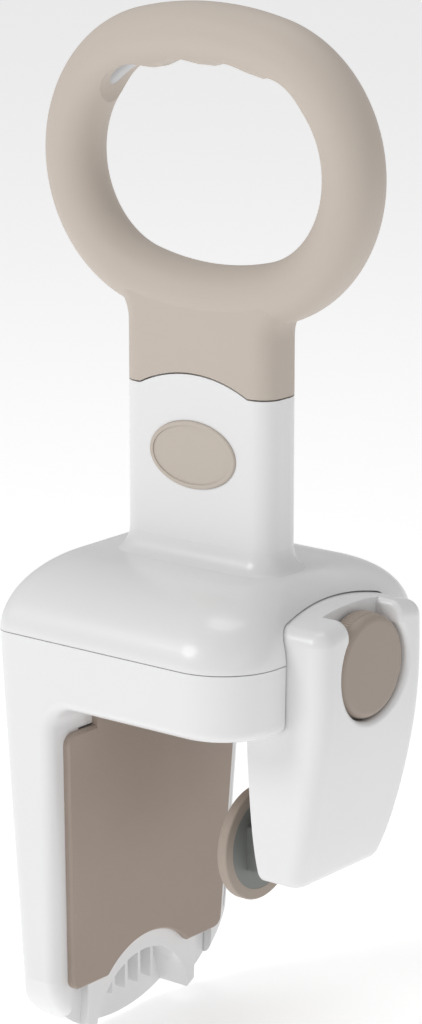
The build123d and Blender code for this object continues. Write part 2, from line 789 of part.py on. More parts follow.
def wood_screws(places, seat_z, length, up=False):
    """Pan-head screws with their heads on a seat; the points look down, or up."""
    way = 1 if up else -1
    for x, y in places:
        seat = Plane((x, y, seat_z))
        with BuildSketch(seat) as head:
            Circle(head_r)
        extrude(head.sketch, amount=-way * head_h)
        with BuildSketch(seat) as shank:
            Circle(shank_r)
        extrude(shank.sketch, amount=way * length)
        with BuildSketch(seat.offset(-way * head_h)) as socket:
            hexagon(2.4)
        extrude(socket.sketch, amount=way * head_h * 0.6, mode=Mode.SUBTRACT)


with BuildPart() as block_screws:
    wood_screws(block_screw_at, under_z + block_h - head_h, block_h - head_h - wall + 2.0)
block_screws.part.label = "block_screws"

with BuildPart() as chassis_screws:
    wood_screws(chassis_screw_at, chassis_top, plate_t + 2.0)
chassis_screws.part.label = "chassis_screws"

with BuildPart() as cover_screws:
    wood_screws(cover_screw_at, under_z + cover_seat, joint_z - under_z - cover_seat + 10, up=True)
cover_screws.part.label = "cover_screws"

with BuildPart() as panel_screws:
    for u, v in panel_screw_at:
        with BuildSketch(face_plane.offset(-groove_d)):
            with Locations((u, v)):
                Circle(head_r)
        extrude(amount=head_h)
        with BuildSketch(face_plane.offset(-groove_d)):
            with Locations((u, v)):
                Circle(shank_r)
        extrude(amount=-wall - 9)
panel_screws.part.label = "panel_screws"

# =============================== Jaw ================================================


def jaw_section(station, inset=0.0):
    z, low_x, high_x, half = station
    with Locations(((low_x + high_x - inset) / 2, 0)):
        Rectangle(high_x - inset - low_x, 2 * (half - inset))
    fillet(vertices().group_by(Axis.X)[-1], jaw_r - inset)


def jaw_form(inset=0.0):
    """Loft of the jaw, closed at the inner side and cut off by its arched roof."""
    sections = []
    for station in jaw_stations:
        with BuildSketch(Plane.XY.offset(under_z + station[0])) as section:
            jaw_section(station, inset)
        sections.append(section.sketch)
    loft(sections)
    wide = 2 * jaw_half
    top = roof_z - inset
    radius = jaw_roof_r - inset
    side = top - radius + math.sqrt(radius**2 - wide**2)
    with BuildSketch(Plane.YZ) as above:
        with BuildLine() as outline:
            ThreePointArc((-wide, side), (0, top), (wide, side))
            Polyline((wide, side), (wide, top + hidden), (-wide, top + hidden), (-wide, side))
        make_face(outline.edges())
    extrude(above.sketch, amount=hidden, mode=Mode.SUBTRACT)


with BuildPart() as jaw_solid:
    jaw_form()
    fillet(faces().sort_by(Axis.Z)[-1].edges().sort_by(Axis.X)[1:], jaw_roof_edge_r)
    fillet(faces().sort_by(Axis.Z)[0].edges().sort_by(Axis.X)[1:], jaw_roof_edge_r)

with BuildPart() as jaw_hollow:
    jaw_form(wall)
    with Locations((jaw_in, 0, jaw_foot_z)):
        Box(hidden, hidden, 2 * wall, mode=Mode.SUBTRACT)

with BuildPart() as jaw_bosses:
    with BuildSketch(Plane.YZ.offset(jaw_plate_x + jaw_plate_t)):
        with Locations(plate_screw_at):
            Circle(3.5)
    extrude(amount=hidden)
    add(jaw_solid.part, mode=Mode.INTERSECT)

with BuildPart() as jaw_shell:
    add(jaw_solid.part)
    add(jaw_hollow.part, mode=Mode.SUBTRACT)
    # wall and floor of the knob pocket, with a bearing for the hub
    with BuildPart(mode=Mode.PRIVATE) as pocket_wall:
        with BuildSketch(Plane.YZ.offset(pocket_x - wall)):
            with Locations((0, axis_z)):
                Circle(pocket_r + wall)
            with Locations((0, axis_z + hidden / 2)):
                Rectangle(2 * (mouth_half + wall), hidden)
        extrude(amount=hidden)
        add(jaw_solid.part, mode=Mode.INTERSECT)
    add(pocket_wall.part)
    add(jaw_bosses.part)
    with BuildSketch(Plane.YZ.offset(bearing_x)):
        with Locations((0, axis_z)):
            Circle(hub_r + wall)
    extrude(amount=pocket_x - bearing_x)
    with BuildSketch(Plane.YZ.offset(pocket_x)):
        with Locations((0, axis_z)):
            Circle(pocket_r)
        with Locations((0, axis_z + hidden / 2)):
            Rectangle(2 * mouth_half, hidden)
    extrude(amount=hidden, mode=Mode.SUBTRACT)
    # rounded corners and lip of the pocket
    corners = edges().filter_by(Axis.X).filter_by(
        lambda e: abs(abs(e.center().Y) - mouth_half) < 0.1
        and e.center().X > pocket_x
        and e.center().Z < roof_z - 5
    )
    fillet(corners, lip_corner_r)
    mouth = edges().filter_by(
        lambda e: e.center().X > pocket_x + 1
        and abs(e.center().Y) < mouth_half + 0.6
        and (e.center().Z > axis_z or e.center().X > knob_face)
        and not (e.geom_type == GeomType.LINE and e.center().Z < roof_z - 3)
    )
    fillet(mouth, lip_r)
    with BuildSketch(Plane.YZ.offset(bearing_x)):
        with Locations((0, axis_z)):
            Circle(hub_r + slide_fit)
    extrude(amount=hidden, mode=Mode.SUBTRACT)
    with BuildSketch(Plane.YZ.offset(jaw_plate_x + jaw_plate_t)):
        with Locations(plate_screw_at):
            Circle(1.6)
    extrude(amount=9, mode=Mode.SUBTRACT)
    # room for the boss of the round pad's stud
    with BuildSketch(Plane.YZ.offset(slot_back)):
        with Locations((0, pad_z)):
            Circle(stud_boss_r + play)
    extrude(amount=stud_boss_end - slot_back, mode=Mode.SUBTRACT)
jaw_shell.part.label = "jaw_shell"

with BuildPart() as jaw_plate:
    with BuildPart(mode=Mode.PRIVATE) as plate_room:
        jaw_form(wall + play)
        with Locations((jaw_in, 0, jaw_foot_z)):
            Box(hidden, hidden, 2 * (wall + play), mode=Mode.SUBTRACT)
    with BuildSketch(Plane.YZ.offset(jaw_plate_x)):
        Rectangle(hidden, 3 * hidden)
    extrude(amount=jaw_plate_t)
    add(plate_room.part, mode=Mode.INTERSECT)
    with BuildSketch(Plane.YZ.offset(jaw_plate_x)):
        with Locations((0, pad_z)):
            Circle(stud_boss_r)
    extrude(amount=stud_boss_end - play - jaw_plate_x)
    with BuildSketch(Plane.YZ.offset(jaw_plate_x)):
        with Locations((0, axis_z)):
            Circle(screw_r + 0.6)
        with Locations((-rod_y, axis_z), (rod_y, axis_z)):
            Circle(rod_r + bolt_fit)
        with Locations((0, pad_z)):
            Circle(stud_r + bolt_fit)
        with Locations(plate_screw_at):
            Circle(screw_hole_r)
    extrude(amount=hidden, mode=Mode.SUBTRACT)
    with BuildSketch(Plane.YZ.offset(insert_x)):
        with Locations((0, pad_z)):
            Circle(insert_r + thread_fit)
    extrude(amount=hidden, mode=Mode.SUBTRACT)
    for y, z in plate_screw_at:
        with Locations(Location((jaw_plate_x, y, z), (0, 90, 0))):
            Cone(head_r, shank_r, 1.6, align=(Align.CENTER, Align.CENTER, Align.MIN), mode=Mode.SUBTRACT)
jaw_plate.part.label = "jaw_plate"

strut_x = jaw_plate_x + jaw_plate_t
with BuildPart() as jaw_strut:
    with BuildSketch(Plane.YZ.offset(strut_x)):
        with Locations((0, under_z + (strut_low + strut_top) / 2)):
            Rectangle(60, strut_top - strut_low)
            fillet(vertices(), 5)
        with Locations((0, under_z + (strut_low + strut_foot) / 2)):
            Rectangle(28, strut_low - strut_foot + 8)
        with Locations((0, axis_z)):
            Circle(neck_r + slide_fit, mode=Mode.SUBTRACT)
        with Locations((-rod_y, axis_z), (rod_y, axis_z)):
            Circle(rod_end_r + bolt_fit, mode=Mode.SUBTRACT)
        with Locations((0, pad_z)):
            Circle(stud_boss_r + play, mode=Mode.SUBTRACT)
    extrude(amount=strut_t)
jaw_strut.part.label = "jaw_strut"


def turned(x, steps, y=0.0, z=None):
    """Round piece along X: steps of (radius, length) from a starting X."""
    for radius, length in steps:
        with BuildSketch(Plane.YZ.offset(x)) as section:
            with Locations((y, axis_z if z is None else z)):
                Circle(radius)
        extrude(section.sketch, amount=length)
        x += length


strut_end = strut_x + strut_t
with BuildPart() as guide_rods:
    for y in (-rod_y, rod_y):
        turned(rod_in, ((rod_r, strut_x - rod_in), (rod_end_r, strut_t + rod_nut_h + 2)), y)
guide_rods.part.label = "guide_rods"

with BuildPart() as rod_nuts:
    for y in (-rod_y, rod_y):
        with BuildSketch(Plane.YZ.offset(strut_end)):
            with Locations((y, axis_z)):
                hexagon(rod_nut_flats)
                Circle(rod_end_r + thread_fit, mode=Mode.SUBTRACT)
        extrude(amount=rod_nut_h)
rod_nuts.part.label = "rod_nuts"

with BuildPart() as plate_screws:
    for y, z in plate_screw_at:
        turned(jaw_plate_x + 1.0, ((shank_r, 10.0),), y, z)
        with Locations(Location((jaw_plate_x, y, z), (0, 90, 0))):
            Cone(head_r - 0.1, shank_r, 1.5, align=(Align.CENTER, Align.CENTER, Align.MIN))
plate_screws.part.label = "plate_screws"

with BuildPart() as thrust_washer:
    turned(strut_end, ((collar_r, washer_t),))
    with BuildSketch(Plane.YZ.offset(strut_end)):
        with Locations((0, axis_z)):
            Circle(neck_r + slide_fit)
    extrude(amount=washer_t, mode=Mode.SUBTRACT)
thrust_washer.part.label = "thrust_washer"

collar_x = strut_end + washer_t + turn_play
with BuildPart() as screw_collar:
    turned(collar_x, ((collar_r, collar_len),))
    fillet(edges(), 0.6)
    with BuildSketch(Plane.YZ.offset(collar_x)):
        with Locations((0, axis_z)):
            Circle(neck_r + thread_fit)
    extrude(amount=collar_len, mode=Mode.SUBTRACT)
    with BuildSketch(Plane.XZ):
        with Locations((collar_x + collar_len / 2, axis_z)):
            Circle(pin_r + thread_fit)
    extrude(amount=hidden, both=True, mode=Mode.SUBTRACT)
screw_collar.part.label = "screw_collar"

with BuildPart() as lead_screw:
    turned(screw_in, ((screw_r, strut_x - turn_play - screw_in),))
    chamfer(edges().sort_by(Axis.X)[0], 1.0)
    turned(strut_x - turn_play, ((neck_r, screw_end - strut_x + turn_play),))
    with BuildSketch(Plane.XZ):
        with Locations((collar_x + collar_len / 2, axis_z)):
            Circle(pin_r + thread_fit)
    extrude(amount=hidden, both=True, mode=Mode.SUBTRACT)
lead_screw.part.label = "lead_screw"

with BuildPart() as collar_pin:
    with BuildSketch(Plane.XZ):
        with Locations((collar_x + collar_len / 2, axis_z)):
            Circle(pin_r)
    extrude(amount=collar_r - 0.3, both=True)
collar_pin.part.label = "collar_pin"

with BuildPart() as knob:
    turned(knob_back, ((knob_r, knob_face - knob_back),))
    fillet(edges().sort_by(Axis.X)[-1], knob_edge_r)
    fillet(edges().sort_by(Axis.X)[0], 1.0)
    # hollow behind the face
    with BuildSketch(Plane.YZ.offset(knob_back)):
        with Locations((0, axis_z)):
            Circle(knob_r - 3.2)
            Circle(hub_r + 2.4, mode=Mode.SUBTRACT)
    extrude(amount=knob_hollow, mode=Mode.SUBTRACT)
    turned(bearing_x + 0.5, ((hub_r, knob_back - bearing_x - 0.5),))
    with BuildSketch(Plane.YZ.offset(bearing_x)):
        with Locations((0, axis_z)):
            Circle(neck_r + thread_fit)
    extrude(amount=screw_end + 0.3 - bearing_x, mode=Mode.SUBTRACT)
knob.part.label = "knob"

# =============================== Round pad ==========================================

with BuildPart() as pad_stud:
    with Locations((ball_x, 0, pad_z)):
        Sphere(ball_r)
    turned(ball_x, ((stud_neck_r, 6.0),), 0, pad_z)
    turned(ball_x + 6.0, ((stud_r, insert_x + insert_len - ball_x - 6.0),), 0, pad_z)
    with BuildSketch(Plane.YZ.offset(jaw_plate_x - 3.0)):
        with Locations((0, pad_z)):
            hexagon(11.0)
    extrude(amount=3.0)
pad_stud.part.label = "pad_stud"

with BuildPart() as stud_insert:
    turned(insert_x, ((insert_r, insert_len),), 0, pad_z)
    with BuildSketch(Plane.YZ.offset(insert_x)):
        with Locations((0, pad_z)):
            Circle(stud_r + thread_fit)
    extrude(amount=insert_len, mode=Mode.SUBTRACT)
stud_insert.part.label = "stud_insert"

with BuildPart() as swivel_bush:
    with Locations((ball_x, 0, pad_z)):
        Sphere(bush_r)
        Sphere(ball_r + slide_fit, mode=Mode.SUBTRACT)
    with BuildSketch(Plane.YZ.offset(ball_x)):
        with Locations((0, pad_z)):
            Circle(stud_neck_r + 1.0)
    extrude(amount=2 * bush_r, mode=Mode.SUBTRACT)
swivel_bush.part.label = "swivel_bush"

with BuildPart() as pad_plate:
    turned(plate_front, ((plate_r, plate_back - plate_front),), 0, pad_z)
    with BuildSketch(Plane.YZ.offset(plate_back)):
        with Locations((0, pad_z)):
            RectangleRounded(2 * boss_half, 2 * boss_half, 2.0)
    extrude(amount=boss_end - plate_back)
    chamfer(faces().sort_by(Axis.X)[-1].edges(), 0.8)
    with Locations((ball_x, 0, pad_z)):
        Sphere(bush_r + slide_fit, mode=Mode.SUBTRACT)
pad_plate.part.label = "pad_plate"

with BuildPart() as pad_cup:
    turned(cup_face, ((cup_r, cup_back - cup_face),), 0, pad_z)
    fillet(edges().sort_by(Axis.X)[0], 1.6)
    fillet(edges().sort_by(Axis.X)[-1], 0.8)
    with BuildSketch(Plane.YZ.offset(plate_front)):
        with Locations((0, pad_z)):
            Circle(plate_r + thread_fit)
    extrude(amount=hidden, mode=Mode.SUBTRACT)
pad_cup.part.label = "pad_cup"

pieces = (
    saddle_body, top_cover, leg_panel, wall_pad, grip_core, grip_sleeve, badge, chassis,
    guide_block, drive_nut, tongue_bolts, tongue_nuts, block_screws, chassis_screws,
    cover_screws, panel_screws, jaw_shell, jaw_plate, jaw_strut, guide_rods, rod_nuts,
    plate_screws, thrust_washer, screw_collar, lead_screw, collar_pin, knob, pad_stud,
    stud_insert, swivel_bush, pad_plate, pad_cup,
)
for piece in pieces:
    export_step(piece.part, f"parts/{piece.part.label}.step")
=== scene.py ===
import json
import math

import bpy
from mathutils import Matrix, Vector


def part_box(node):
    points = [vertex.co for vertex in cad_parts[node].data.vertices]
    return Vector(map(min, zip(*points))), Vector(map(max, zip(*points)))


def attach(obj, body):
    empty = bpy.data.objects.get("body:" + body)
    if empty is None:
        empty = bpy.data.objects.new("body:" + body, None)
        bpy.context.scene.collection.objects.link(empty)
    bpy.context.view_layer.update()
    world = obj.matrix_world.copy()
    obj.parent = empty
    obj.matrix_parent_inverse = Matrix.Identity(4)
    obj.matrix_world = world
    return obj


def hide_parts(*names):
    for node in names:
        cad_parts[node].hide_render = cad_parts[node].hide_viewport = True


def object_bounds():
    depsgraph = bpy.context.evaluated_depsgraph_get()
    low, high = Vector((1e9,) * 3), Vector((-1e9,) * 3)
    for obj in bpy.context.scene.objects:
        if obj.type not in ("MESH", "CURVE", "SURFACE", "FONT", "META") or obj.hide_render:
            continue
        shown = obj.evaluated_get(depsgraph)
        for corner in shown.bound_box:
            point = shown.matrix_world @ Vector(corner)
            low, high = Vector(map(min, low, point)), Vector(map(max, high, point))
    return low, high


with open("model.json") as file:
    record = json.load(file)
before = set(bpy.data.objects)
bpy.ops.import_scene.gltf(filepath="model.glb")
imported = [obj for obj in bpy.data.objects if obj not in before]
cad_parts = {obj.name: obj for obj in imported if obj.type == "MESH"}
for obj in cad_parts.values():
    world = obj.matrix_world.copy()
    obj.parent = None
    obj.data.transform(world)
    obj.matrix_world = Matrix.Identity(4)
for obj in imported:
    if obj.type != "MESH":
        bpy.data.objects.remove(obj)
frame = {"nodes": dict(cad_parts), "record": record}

# %% [markdown]
# # A clamp-on grab handle for a bathtub
# The frame that was just loaded is the real machine: every shell, rod and screw is already a solid
# at its true size and place, and it moves with the body that it belongs to. This lesson adds what
# solids are poor at: threads and grip ridges that repeat, finishes, light and a camera.
# We keep the box of the frame before we add anything.

nodes = frame["nodes"]
cad_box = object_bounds()
mm = 0.001
print("box in mm:", [[round(c / mm, 1) for c in corner] for corner in cad_box])

# %% [markdown]
# ## Short names for building node trees
# Shader trees and geometry trees are both made of nodes and links. Three small helpers keep the
# cells readable: one makes a node and sets its values, one joins two sockets, and one adds a named
# socket to a group, so that every size or colour that a tree needs has a plain name.


# %% Helpers for node trees
def put(tree, kind, place=(0, 0), **values):
    """Adds a node; values are its own settings, such as operation or data_type."""
    node = tree.nodes.new(kind)
    node.location = place
    for name, value in values.items():
        setattr(node, name, value)
    return node


def join(tree, start, end):
    tree.links.new(start, end)


def socket(tree, name, side, kind, value=None):
    """Adds a named input or output to a group."""
    item = tree.interface.new_socket(name=name, in_out=side, socket_type=kind)
    if value is not None:
        item.default_value = value
    return item


# %% [markdown]
# ## Effects that the finishes share
# Moulded plastic is never a single value. Three effects are used by most of the materials here, so
# each is a group that is built once: a *grain* for the fine texture of a mould, a *mottle* that
# shifts a colour and a roughness by a few percent over some centimetres, and *settled dust* that
# collects on faces that look up. They read Object coordinates, so they stay on the piece when a
# joint moves it. A group only puts out values that vary; the shader itself stays in the material.


# %% Grain: the fine texture of a mould
def build_grain():
    tree = bpy.data.node_groups.new("mould grain", "ShaderNodeTree")
    socket(tree, "Scale", "INPUT", "NodeSocketFloat", 900.0)
    socket(tree, "Softness", "INPUT", "NodeSocketFloat", 0.5)
    socket(tree, "Height", "OUTPUT", "NodeSocketFloat")
    start = put(tree, "NodeGroupInput", (-600, 0))
    place = put(tree, "ShaderNodeTexCoord", (-600, -200))
    noise = put(tree, "ShaderNodeTexNoise", (-300, 0))
    noise.inputs["Detail"].default_value = 3.0
    end = put(tree, "NodeGroupOutput", (0, 0))
    join(tree, place.outputs["Object"], noise.inputs["Vector"])
    join(tree, start.outputs["Scale"], noise.inputs["Scale"])
    join(tree, start.outputs["Softness"], noise.inputs["Roughness"])
    join(tree, noise.outputs["Fac"], end.inputs["Height"])
    return tree


grain = build_grain()
print("group:", grain.name)


# %% Mottle: a slow drift of colour and gloss
def build_mottle():
    tree = bpy.data.node_groups.new("slow mottle", "ShaderNodeTree")
    socket(tree, "Colour", "INPUT", "NodeSocketColor", (0.8, 0.8, 0.8, 1))
    socket(tree, "Roughness", "INPUT", "NodeSocketFloat", 0.4)
    socket(tree, "Colour drift", "INPUT", "NodeSocketFloat", 0.04)
    socket(tree, "Gloss drift", "INPUT", "NodeSocketFloat", 0.06)
    socket(tree, "Scale", "INPUT", "NodeSocketFloat", 22.0)
    socket(tree, "Colour", "OUTPUT", "NodeSocketColor")
    socket(tree, "Roughness", "OUTPUT", "NodeSocketFloat")
    start = put(tree, "NodeGroupInput", (-900, 0))
    place = put(tree, "ShaderNodeTexCoord", (-900, -300))
    noise = put(tree, "ShaderNodeTexNoise", (-650, -100))
    noise.inputs["Detail"].default_value = 4.0
    centred = put(tree, "ShaderNodeMath", (-450, -100), operation="SUBTRACT")
    centred.inputs[1].default_value = 0.5
    by_colour = put(tree, "ShaderNodeMath", (-250, 100), operation="MULTIPLY")
    bright = put(tree, "ShaderNodeMath", (-80, 100), operation="ADD")
    bright.inputs[1].default_value = 1.0
    tinted = put(tree, "ShaderNodeMix", (100, 100), data_type="RGBA", blend_type="MULTIPLY")
    tinted.inputs["Factor"].default_value = 1.0
    by_gloss = put(tree, "ShaderNodeMath", (-250, -200), operation="MULTIPLY")
    rough = put(tree, "ShaderNodeMath", (-80, -200), operation="ADD")
    end = put(tree, "NodeGroupOutput", (320, 0))
    join(tree, place.outputs["Object"], noise.inputs["Vector"])
    join(tree, start.outputs["Scale"], noise.inputs["Scale"])
    join(tree, noise.outputs["Fac"], centred.inputs[0])
    join(tree, centred.outputs[0], by_colour.inputs[0])
    join(tree, start.outputs["Colour drift"], by_colour.inputs[1])
    join(tree, by_colour.outputs[0], bright.inputs[0])
    join(tree, start.outputs["Colour"], tinted.inputs["A"])
    join(tree, bright.outputs[0], tinted.inputs["B"])
    join(tree, centred.outputs[0], by_gloss.inputs[0])
    join(tree, start.outputs["Gloss drift"], by_gloss.inputs[1])
    join(tree, by_gloss.outputs[0], rough.inputs[0])
    join(tree, start.outputs["Roughness"], rough.inputs[1])
    join(tree, tinted.outputs["Result"], end.inputs["Colour"])
    join(tree, rough.outputs[0], end.inputs["Roughness"])
    return tree


mottle = build_mottle()
print("group:", mottle.name)


# %% Settled dust: a thin pale film on faces that look up
def build_dust():
    tree = bpy.data.node_groups.new("settled dust", "ShaderNodeTree")
    socket(tree, "Colour", "INPUT", "NodeSocketColor", (0.8, 0.8, 0.8, 1))
    socket(tree, "Dust colour", "INPUT", "NodeSocketColor", (0.62, 0.60, 0.56, 1))
    socket(tree, "Amount", "INPUT", "NodeSocketFloat", 0.06)
    socket(tree, "Colour", "OUTPUT", "NodeSocketColor")
    start = put(tree, "NodeGroupInput", (-900, 0))
    place = put(tree, "ShaderNodeTexCoord", (-900, -200))
    split = put(tree, "ShaderNodeSeparateXYZ", (-700, -200))
    up = put(tree, "ShaderNodeMapRange", (-500, -200))
    up.inputs["From Min"].default_value = 0.35
    up.inputs["From Max"].default_value = 1.0
    noise = put(tree, "ShaderNodeTexNoise", (-700, -450))
    noise.inputs["Scale"].default_value = 60.0
    noise.inputs["Detail"].default_value = 6.0
    patchy = put(tree, "ShaderNodeMath", (-300, -250), operation="MULTIPLY")
    amount = put(tree, "ShaderNodeMath", (-120, -250), operation="MULTIPLY")
    covered = put(tree, "ShaderNodeMix", (80, 0), data_type="RGBA")
    end = put(tree, "NodeGroupOutput", (280, 0))
    join(tree, place.outputs["Normal"], split.inputs[0])
    join(tree, split.outputs["Z"], up.inputs["Value"])
    join(tree, place.outputs["Object"], noise.inputs["Vector"])
    join(tree, up.outputs["Result"], patchy.inputs[0])
    join(tree, noise.outputs["Fac"], patchy.inputs[1])
    join(tree, patchy.outputs[0], amount.inputs[0])
    join(tree, start.outputs["Amount"], amount.inputs[1])
    join(tree, amount.outputs[0], covered.inputs["Factor"])
    join(tree, start.outputs["Colour"], covered.inputs["A"])
    join(tree, start.outputs["Dust colour"], covered.inputs["B"])
    join(tree, covered.outputs["Result"], end.inputs["Colour"])
    return tree


dust = build_dust()
print("group:", dust.name)


# %% [markdown]
# ## One function for every finish
# All the finishes share a layout: mottle, then dust, into the colour of a Principled shader, with
# the grain as a bump. Values that are the same all over a surface, such as metallic or coat, are
# typed on the shader's own sockets. What differs between white plastic and brass is then one line.


# %% A finish from the shared effects
def finish(name, colour, roughness, metallic=0.0, grain_scale=900.0, grain_depth=0.02,
           drift=0.04, gloss_drift=0.06, dusty=0.05, coat=0.0, sheen=0.0, specular=0.5):
    material = bpy.data.materials.new(name)
    material.use_nodes = True
    tree = material.node_tree
    tree.nodes.clear()
    shader = put(tree, "ShaderNodeBsdfPrincipled", (300, 0))
    output = put(tree, "ShaderNodeOutputMaterial", (600, 0))
    slow = put(tree, "ShaderNodeGroup", (-300, 100), node_tree=mottle)
    slow.inputs["Colour"].default_value = (*colour, 1)
    slow.inputs["Roughness"].default_value = roughness
    slow.inputs["Colour drift"].default_value = drift
    slow.inputs["Gloss drift"].default_value = gloss_drift
    film = put(tree, "ShaderNodeGroup", (0, 100), node_tree=dust)
    film.inputs["Amount"].default_value = dusty
    texture = put(tree, "ShaderNodeGroup", (-300, -250), node_tree=grain)
    texture.inputs["Scale"].default_value = grain_scale
    bump = put(tree, "ShaderNodeBump", (0, -250))
    bump.inputs["Strength"].default_value = grain_depth
    bump.inputs["Distance"].default_value = 0.0005
    shader.inputs["Metallic"].default_value = metallic
    shader.inputs["Coat Weight"].default_value = coat
    shader.inputs["Coat Roughness"].default_value = 0.12
    shader.inputs["Sheen Weight"].default_value = sheen
    shader.inputs["Specular IOR Level"].default_value = specular
    join(tree, slow.outputs["Colour"], film.inputs["Colour"])
    join(tree, film.outputs["Colour"], shader.inputs["Base Color"])
    join(tree, slow.outputs["Roughness"], shader.inputs["Roughness"])
    join(tree, texture.outputs["Height"], bump.inputs["Height"])
    join(tree, bump.outputs["Normal"], shader.inputs["Normal"])
    join(tree, shader.outputs[0], output.inputs["Surface"])
    material.diffuse_color = (*colour, 1)
    return material


# %% [markdown]
# ## The plastics
# The saddle, its cover, the leg and the jaw are one glossy white moulding compound. The loop and the
# badge are a warm, soft-touch taupe; the knob is the same family, darker and finely ribbed. Inside,
# the guide block and the swivel are black acetal.

# %% Plastic finishes
white_plastic = finish("white moulding", (0.86, 0.86, 0.865), 0.30, coat=0.25, grain_depth=0.015,
                       drift=0.02, gloss_drift=0.08, dusty=0.03)
grip_plastic = finish("soft-touch taupe", (0.585, 0.515, 0.452), 0.55, sheen=0.10, grain_scale=1400.0,
                      grain_depth=0.08, drift=0.05, dusty=0.04, specular=0.35)
badge_plastic = finish("taupe badge", (0.57, 0.505, 0.44), 0.42, grain_scale=1100.0, grain_depth=0.03,
                       drift=0.03, dusty=0.03)
knob_plastic = finish("darker taupe", (0.40, 0.335, 0.285), 0.52, sheen=0.05, grain_scale=1500.0,
                      grain_depth=0.10, drift=0.07, dusty=0.05, specular=0.35)
disc_plastic = finish("grey-green moulding", (0.225, 0.235, 0.222), 0.46, grain_depth=0.05, drift=0.06)
block_plastic = finish("black acetal", (0.035, 0.035, 0.038), 0.38, grain_depth=0.03, drift=0.10)
print("plastics:", 6)

# %% [markdown]
# ## Rubber and metal
# The linings are a brown-grey rubber with a dull, slightly velvety surface. The rods and screws are
# bright zinc-plated steel, the two pressed plates are painted black, and the nut that the screw runs
# in is brass, because brass slides well on steel.

# %% Rubber and metal finishes
pad_rubber = finish("lining rubber", (0.40, 0.325, 0.275), 0.62, sheen=0.12, grain_scale=700.0,
                    grain_depth=0.16, drift=0.16, gloss_drift=0.10, dusty=0.05, specular=0.35)
cup_rubber = finish("cup rubber", (0.43, 0.36, 0.305), 0.58, sheen=0.10, grain_scale=700.0,
                    grain_depth=0.12, drift=0.10, dusty=0.05, specular=0.35)
steel = finish("zinc-plated steel", (0.62, 0.62, 0.63), 0.26, metallic=1.0, grain_scale=350.0,
               grain_depth=0.03, drift=0.08, gloss_drift=0.16, dusty=0.02)
dark_steel = finish("black painted steel", (0.055, 0.055, 0.06), 0.42, coat=0.15, grain_depth=0.05,
                    drift=0.12)
core_alloy = finish("cast alloy", (0.60, 0.60, 0.61), 0.48, metallic=1.0, grain_scale=420.0,
                    grain_depth=0.25, drift=0.08, dusty=0.02)
brass = finish("machined brass", (0.72, 0.53, 0.24), 0.24, metallic=1.0, grain_scale=300.0,
               grain_depth=0.03, drift=0.08, gloss_drift=0.12, dusty=0.02)
print("rubber and metal:", 6)

# %% [markdown]
# ## Dressing the frame
# Each solid says in the record which material slot it belongs to. The slot is the link between the
# record and the looks, so we put the finish of that name on the node, and nothing is forgotten.

# %% Put the finishes on the frame
finishes = {
    "white_plastic": white_plastic,
    "grip_plastic": grip_plastic,
    "badge_plastic": badge_plastic,
    "knob_plastic": knob_plastic,
    "disc_plastic": disc_plastic,
    "block_plastic": block_plastic,
    "pad_rubber": pad_rubber,
    "cup_rubber": cup_rubber,
    "steel": steel,
    "dark_steel": dark_steel,
    "core_alloy": core_alloy,
    "brass": brass,
}
slot_of = {part["node"]: part["material_slot"] for part in frame["record"]["subparts"]}
for name, piece in nodes.items():
    piece.data.materials.clear()
    piece.data.materials.append(finishes[slot_of[name]])
print("dressed:", len(nodes), "nodes with", len(set(slot_of.values())), "finishes")

# %% [markdown]
# ## Making a piece with Geometry Nodes
# Threads, grip ridges and ribs are all one small shape, repeated along a rule, so each is a geometry
# tree with named sizes. The recipe is always the same: an empty mesh gets the tree as a modifier, the
# sizes are set by the identifiers of the tree's sockets, the result is read back as a plain mesh, and
# the modifier goes. The plain mesh then rides on the body that carries it.


# %% Recipe: run a tree and keep its mesh
def new_tree(name, sizes):
    """An empty geometry tree with named float inputs, a material input and a mesh output."""
    tree = bpy.data.node_groups.new(name, "GeometryNodeTree")
    tree.is_modifier = True
    socket(tree, "Geometry", "INPUT", "NodeSocketGeometry")
    for label, kind, value in sizes:
        socket(tree, label, "INPUT", kind, value)
    socket(tree, "Material", "INPUT", "NodeSocketMaterial")
    socket(tree, "Geometry", "OUTPUT", "NodeSocketGeometry")
    return tree


def end_tree(tree, start, shape, turn, move):
    """Turns and places the shape, makes instances real and gives it its material."""
    placed = put(tree, "GeometryNodeTransform", (500, 0))
    placed.inputs["Rotation"].default_value = turn
    placed.inputs["Translation"].default_value = move
    real = put(tree, "GeometryNodeRealizeInstances", (700, 0))
    dressed = put(tree, "GeometryNodeSetMaterial", (900, 0))
    end = put(tree, "NodeGroupOutput", (1100, 0))
    join(tree, shape, placed.inputs["Geometry"])
    join(tree, placed.outputs[0], real.inputs["Geometry"])
    join(tree, real.outputs[0], dressed.inputs["Geometry"])
    join(tree, start.outputs["Material"], dressed.inputs["Material"])
    join(tree, dressed.outputs[0], end.inputs["Geometry"])


def grow(name, tree, sizes, material, body):
    """Runs a tree with its sizes on an empty mesh and returns the plain piece on its body."""
    seed = bpy.data.objects.new(name + "_seed", bpy.data.meshes.new(name + "_seed"))
    bpy.context.scene.collection.objects.link(seed)
    modifier = seed.modifiers.new("shape", "NODES")
    modifier.node_group = tree
    for item in tree.interface.items_tree:
        if item.in_out == "INPUT" and item.name in sizes:
            modifier[item.identifier] = sizes[item.name]
        if item.in_out == "INPUT" and item.name == "Material":
            modifier[item.identifier] = material
    graph = bpy.context.evaluated_depsgraph_get()
    mesh = bpy.data.meshes.new_from_object(seed.evaluated_get(graph))
    mesh.name = name
    seed.modifiers.clear()
    bpy.data.objects.remove(seed)
    piece = bpy.data.objects.new(name, mesh)
    bpy.context.scene.collection.objects.link(piece)
    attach(piece, body)
    print(name, "has", len(mesh.polygons), "faces on", body)
    return piece


